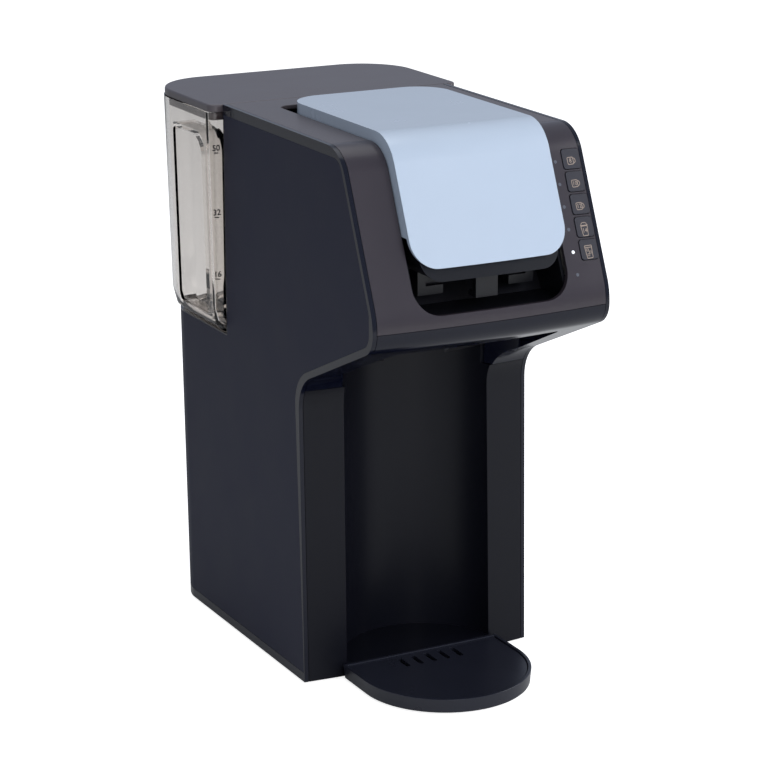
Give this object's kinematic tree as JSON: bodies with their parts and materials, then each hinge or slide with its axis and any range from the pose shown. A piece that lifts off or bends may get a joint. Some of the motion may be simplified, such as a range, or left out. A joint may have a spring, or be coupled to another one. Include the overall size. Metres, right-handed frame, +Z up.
{
  "type": "pod coffee maker",
  "caption": "Slim single-serve pod coffee maker with a hinged lid over the pod holder, a lift-off clear water tank, push buttons and a low drip tray.",
  "frame": {"origin": "middle of the underside of the whole machine, on the surface it stands on", "axes": "+Z up, -Y towards the front (the brewing head and the cup), +X to the right seen from the front"},
  "size_m": [0.168, 0.2882, 0.3362],
  "materials": {
    "gloss_shell": "black moulded plastic with a polished surface",
    "matte_panel": "black moulded plastic with a fine matte texture",
    "satin_cover": "black moulded plastic, satin",
    "lid_blue": "pale blue pearl paint on plastic, satin gloss",
    "inner_black": "black moulded plastic",
    "tray_black": "black moulded plastic, satin gloss",
    "button_black": "black plastic caps with pale printing",
    "clear_plastic": "clear moulded plastic, polished",
    "valve_plastic": "natural moulded plastic",
    "lens_white": "milky lens",
    "foot_rubber": "soft matte rubber",
    "silicone": "soft silicone rubber",
    "steel": "bare stainless steel",
    "heater_metal": "cast aluminium, bare",
    "pump_plastic": "moulded plastic housing",
    "board_green": "green solder mask"
  },
  "bodies": {
    "machine": {"housing_left": "gloss_shell", "housing_right": "gloss_shell", "side_panel_left": "matte_panel", "side_panel_right": "matte_panel", "top_cover": "satin_cover", "front_fascia": "gloss_shell", "head_underside": "gloss_shell", "cup_bay": "gloss_shell", "head_rear_wall": "matte_panel", "tank_platform": "matte_panel", "rear_cover": "matte_panel", "cord_gland": "inner_black", "base_plate": "matte_panel", "base_screws": "steel", "rubber_feet": "foot_rubber", "brew_chassis": "inner_black", "spout_shroud": "inner_black", "hinge_pins": "steel", "pod_holder": "inner_black", "pod_cup": "inner_black", "lower_needle": "steel", "button_pad": "silicone", "control_board": "board_green", "light_lenses": "lens_white", "water_heater": "heater_metal", "water_pump": "pump_plastic", "air_pump": "pump_plastic", "feed_tube": "silicone", "heater_tube": "silicone", "brew_tube": "silicone"},
    "brew_lid": {"brew_lid": "lid_blue", "lid_liner": "inner_black", "latch_pin": "steel", "upper_needle": "steel", "shower_seal": "silicone"},
    "lid_latch": {"lid_latch": "inner_black"},
    "water_tank": {"water_tank": "clear_plastic", "valve_cage": "valve_plastic"},
    "tank_valve": {"tank_valve": "valve_plastic"},
    "tank_lid": {"tank_lid": "satin_cover"},
    "drip_tray": {"drip_tray": "tray_black"},
    "tray_plate": {"tray_plate": "tray_black"},
    "button_size_1": {"button_size_1": "button_black"},
    "button_size_2": {"button_size_2": "button_black"},
    "button_size_3": {"button_size_3": "button_black"},
    "button_size_4": {"button_size_4": "button_black"},
    "button_strong": {"button_strong": "button_black"}
  },
  "joints": [
    {"name": "lid_hinge", "type": "hinge", "parent": "machine", "child": "brew_lid", "pos_m": [0, 0.00958, 0.322], "axis": [-1, 0, 0], "range_deg": [0, 85]},
    {"name": "latch_pivot", "type": "hinge", "parent": "brew_lid", "child": "lid_latch", "pos_m": [0, -0.13042, 0.2665], "axis": [-1, 0, 0], "range_deg": [0, 8], "stiffness_Nm_per_rad": 0.05},
    {"name": "tank_lift", "type": "slide", "parent": "machine", "child": "water_tank", "axis": [0, 0, 1], "range_m": [0, 0.12]},
    {"name": "tank_lid_lift", "type": "slide", "parent": "water_tank", "child": "tank_lid", "axis": [0, 0, 1], "range_m": [0, 0.06]},
    {"name": "valve_lift", "type": "slide", "parent": "water_tank", "child": "tank_valve", "axis": [0, 0, 1], "range_m": [0, 0.002], "stiffness_N_per_m": 60},
    {"name": "tray_slide", "type": "slide", "parent": "machine", "child": "drip_tray", "axis": [0, -1, 0], "range_m": [0, 0.09]},
    {"name": "plate_lift", "type": "slide", "parent": "drip_tray", "child": "tray_plate", "axis": [0, 0, 1], "range_m": [0, 0.03]},
    {"name": "button_size_1_push", "type": "slide", "parent": "machine", "child": "button_size_1", "axis": [0, 0.9178, -0.3971], "range_m": [0, 0.001], "stiffness_N_per_m": 400},
    {"name": "button_size_2_push", "type": "slide", "parent": "machine", "child": "button_size_2", "axis": [0, 0.9178, -0.3971], "range_m": [0, 0.001], "stiffness_N_per_m": 400},
    {"name": "button_size_3_push", "type": "slide", "parent": "machine", "child": "button_size_3", "axis": [0, 0.9178, -0.3971], "range_m": [0, 0.001], "stiffness_N_per_m": 400},
    {"name": "button_size_4_push", "type": "slide", "parent": "machine", "child": "button_size_4", "axis": [0, 0.9178, -0.3971], "range_m": [0, 0.001], "stiffness_N_per_m": 400},
    {"name": "button_strong_push", "type": "slide", "parent": "machine", "child": "button_strong", "axis": [0, 0.9178, -0.3971], "range_m": [0, 0.001], "stiffness_N_per_m": 400}
  ]
}
